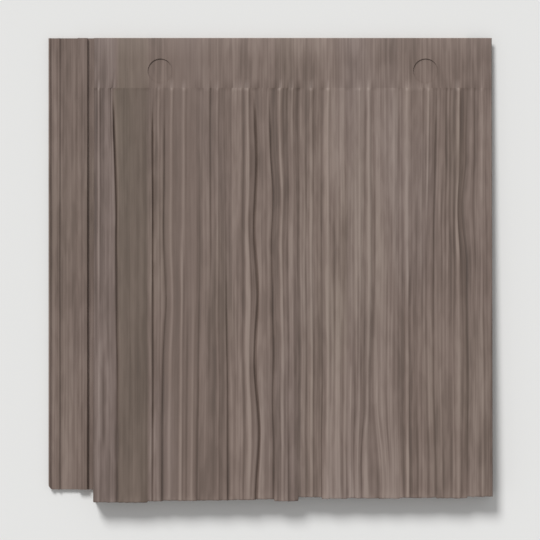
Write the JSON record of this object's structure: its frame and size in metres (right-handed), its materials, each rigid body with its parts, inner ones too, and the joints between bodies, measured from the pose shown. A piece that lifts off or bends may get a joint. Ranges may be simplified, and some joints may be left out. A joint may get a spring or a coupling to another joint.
{
  "type": "synthetic shake roof shingle",
  "caption": "Moulded polymer roof shingle with a riven wood-shake face that tapers up the slope, a hollow ribbed back and a guttered wing on its left side.",
  "frame": {"origin": "middle of the moulding's footprint, side wing included, on the plane that it lies on", "axes": "+X across the roof, away from the side wing; +Y up the slope, from the butt to the head; +Z out of the roof, square to the underside"},
  "size_m": [0.3398, 0.3556, 0.0168],
  "materials": {
    "moulded_polymer": "matte"
  },
  "bodies": {
    "root": {"shingle": "moulded_polymer"}
  },
  "joints": []
}
